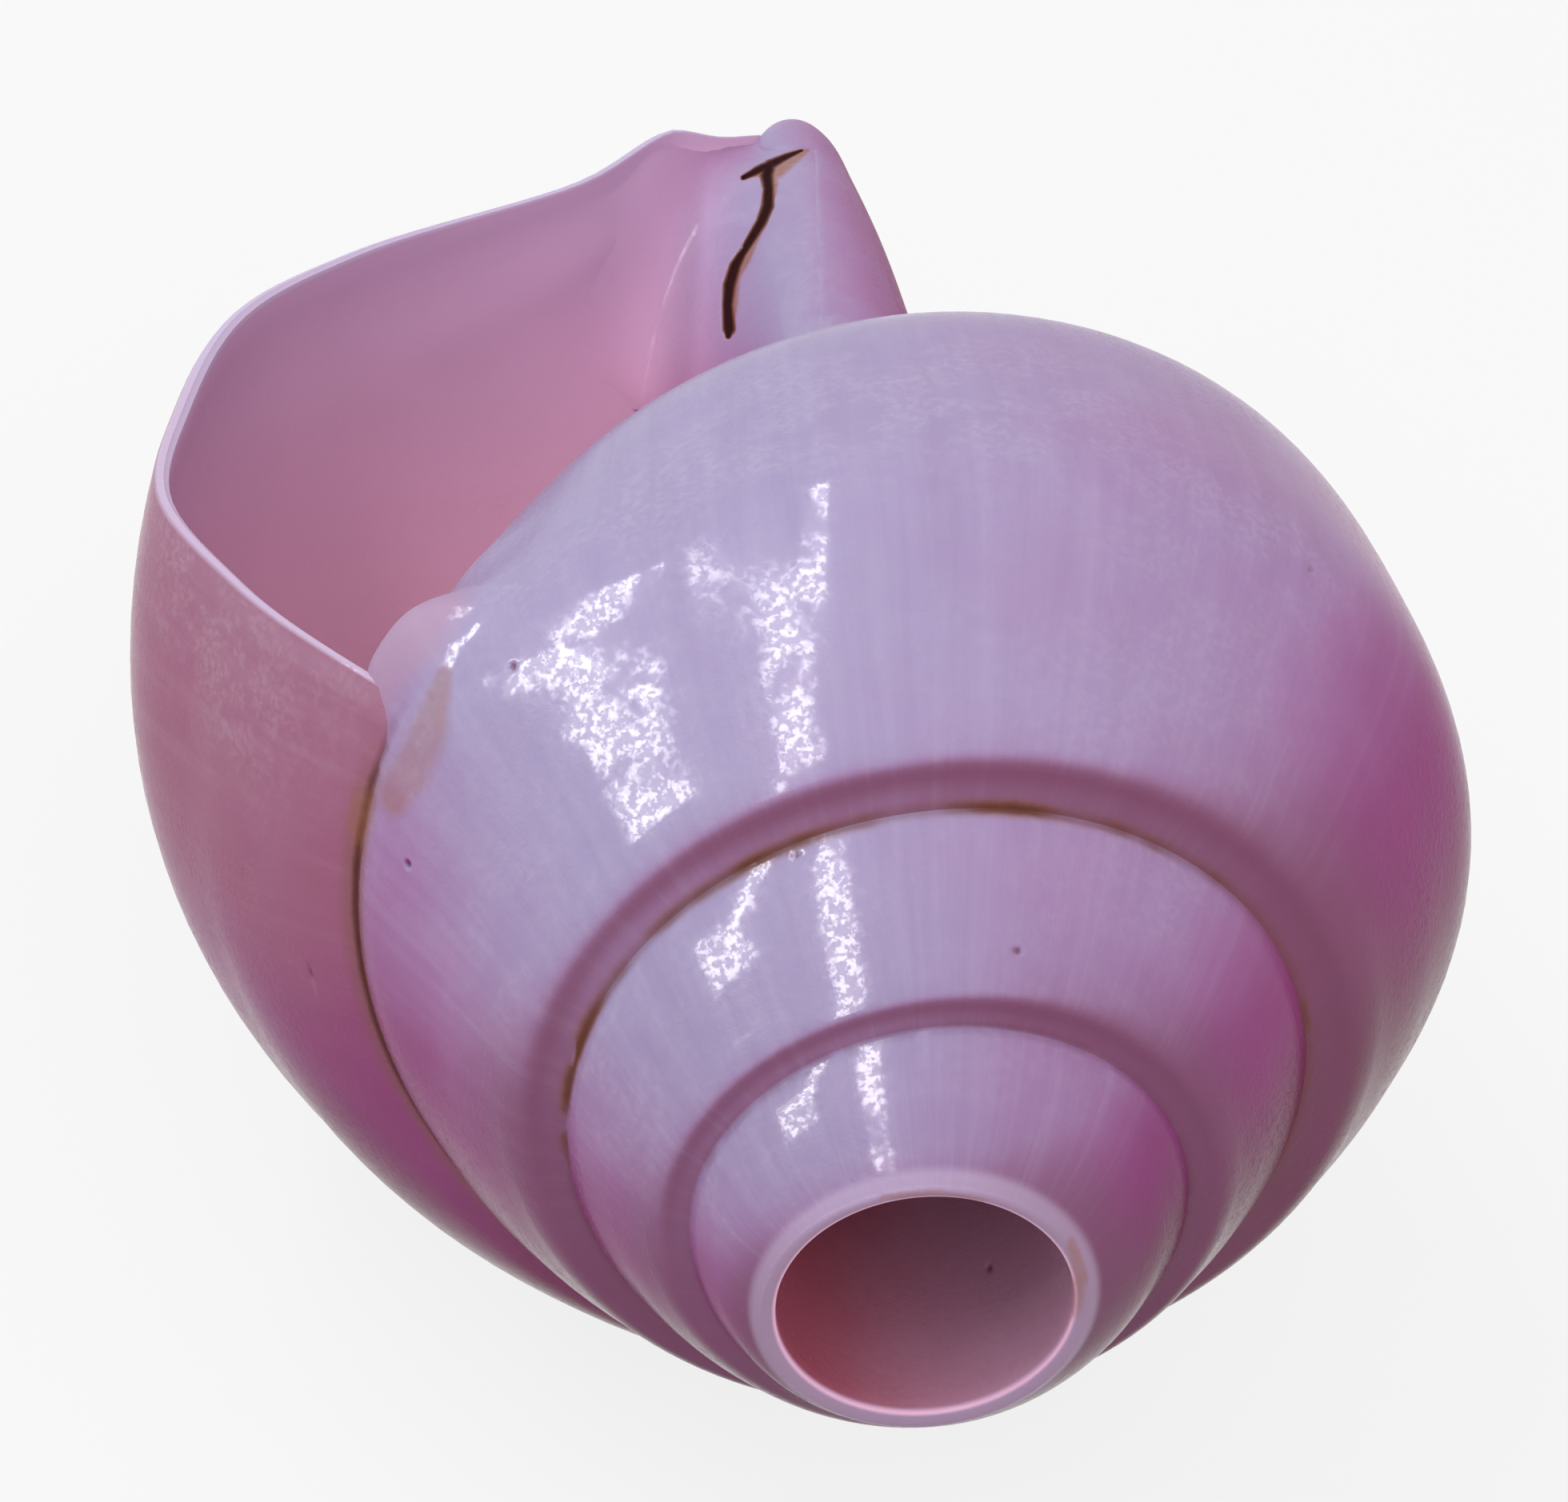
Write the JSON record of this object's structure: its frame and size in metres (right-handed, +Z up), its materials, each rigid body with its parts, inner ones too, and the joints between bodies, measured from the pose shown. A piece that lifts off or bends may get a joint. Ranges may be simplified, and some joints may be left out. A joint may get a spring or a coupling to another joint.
{
  "type": "conch shell",
  "caption": "Polished white right-handed chank shell lying on its back, with a wide aperture, stepped spire and the apex ground flat round a blowing hole.",
  "frame": {"origin": "on the table below the middle of the shell's bounding box, at the height of the point of the last whorl that it rests on", "axes": "+Z up. The apex with the blowing hole points along -Y, tipped 6.7 degrees up, and the canal end points along +Y. The aperture opens upwards on the -X side"},
  "size_m": [0.0794, 0.1294, 0.0725],
  "materials": {
    "shell": null
  },
  "bodies": {
    "root": {"shell": "shell"}
  },
  "joints": []
}
